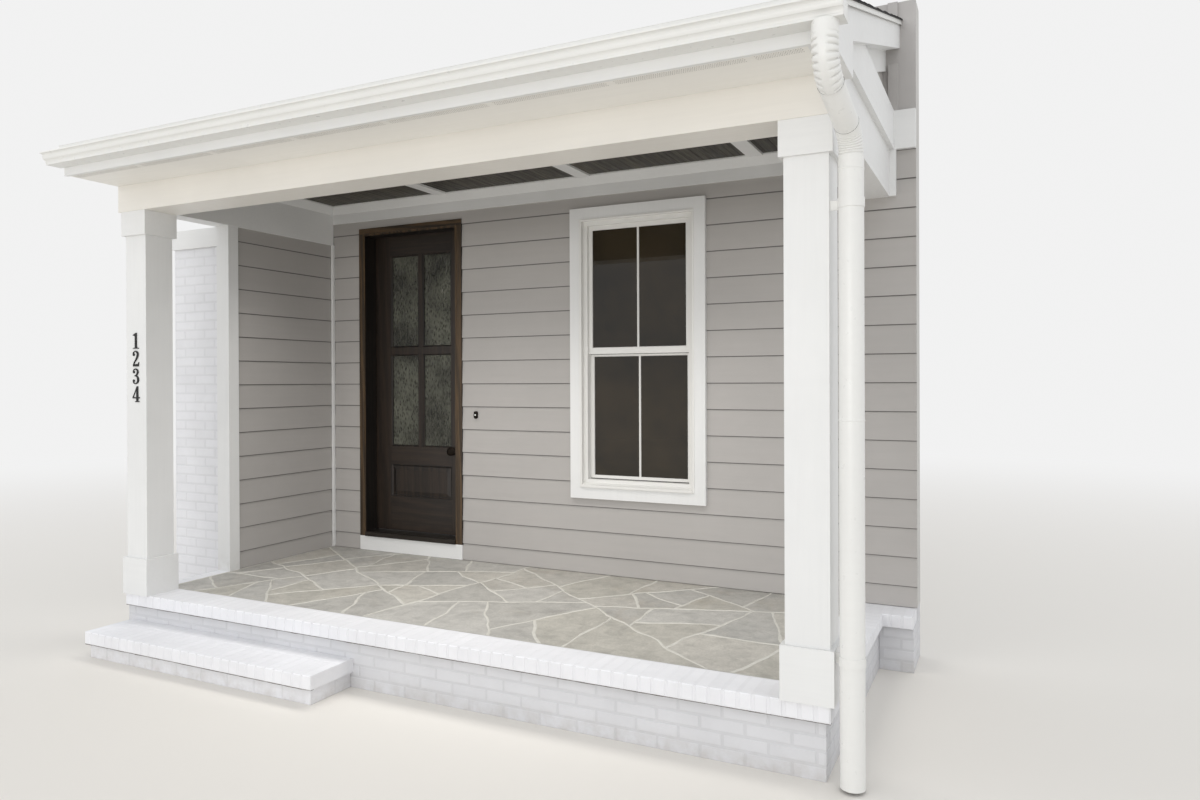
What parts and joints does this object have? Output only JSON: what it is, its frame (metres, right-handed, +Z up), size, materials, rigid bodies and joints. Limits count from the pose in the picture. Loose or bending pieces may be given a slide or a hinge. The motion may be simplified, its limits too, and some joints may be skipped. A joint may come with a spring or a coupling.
{
  "type": "entrance porch",
  "caption": "Covered entrance porch with brick platform, square columns, shed roof, and the house wall behind it with a hinged front door and a window.",
  "frame": {"origin": "on the ground, midway between the two columns, on the line through their centres", "axes": "+X along the front to the right, +Y towards the house, +Z up"},
  "size_m": [5.144, 2.485, 3.9356],
  "materials": {
    "painted_brick": "painted white, matt",
    "flagstone": "rough grey-tan stone",
    "white_wood": "painted white, satin",
    "siding": "fibre-cement boards painted warm light grey",
    "wall_frame": "framed wall behind the siding",
    "gutter_metal": "white enamel, semi-gloss",
    "roof_wood": "bare boards",
    "roofing": "dark roof covering",
    "stained_boards": "dark stain",
    "door_wood": "dark stained, satin",
    "frame_wood": "brown stain, satin",
    "threshold_metal": "dark bronze",
    "dark_metal": "dark bronze, satin",
    "pane": "clear"
  },
  "bodies": {
    "porch": {"platform_base": "painted_brick", "rowlock_border": "painted_brick", "flagstone_floor": "flagstone", "lower_step_base": "painted_brick", "lower_step_tread": "painted_brick", "foundation_wall": "painted_brick", "left_column": "white_wood", "right_column": "white_wood", "column_plinths": "white_wood", "column_caps": "white_wood", "front_beam": "white_wood", "left_side_beam": "white_wood", "right_side_beam": "white_wood", "upper_band": "white_wood", "eave_soffit": "white_wood", "fascia": "white_wood", "gutter": "gutter_metal", "downspout": "gutter_metal", "downspout_elbows": "gutter_metal", "downspout_straps": "gutter_metal", "roof_deck": "roof_wood", "roof_covering": "roofing", "right_rake": "white_wood", "rake_frieze": "white_wood", "right_gable": "siding", "left_gable": "siding", "ceiling_boards": "stained_boards", "ceiling_battens": "white_wood", "ceiling_frieze": "white_wood", "ceiling_crown": "white_wood", "wall_left_of_door": "wall_frame", "wall_over_door": "wall_frame", "wall_right_of_door": "wall_frame", "wall_siding": "siding", "upper_siding": "siding", "belt_board": "white_wood", "side_wall": "wall_frame", "side_siding": "siding", "corner_trim": "white_wood", "wing_wall": "painted_brick", "wing_band": "white_wood", "door_frame": "frame_wood", "door_riser": "white_wood", "door_threshold": "threshold_metal", "frame_hinges": "dark_metal", "window_casing": "white_wood", "window_frame": "white_wood", "window_sashes": "white_wood", "window_glass": "pane", "doorbell": "dark_metal"},
    "door": {"door_leaf": "door_wood", "door_glass": "pane", "door_handle": "dark_metal", "leaf_hinges": "dark_metal"}
  },
  "joints": [
    {"name": "front_door_hinge", "type": "hinge", "parent": "porch", "child": "door", "pos_m": [-1.8095, 1.847, 0.48], "axis": [0, 0, 1], "range_deg": [0, 100]}
  ]
}
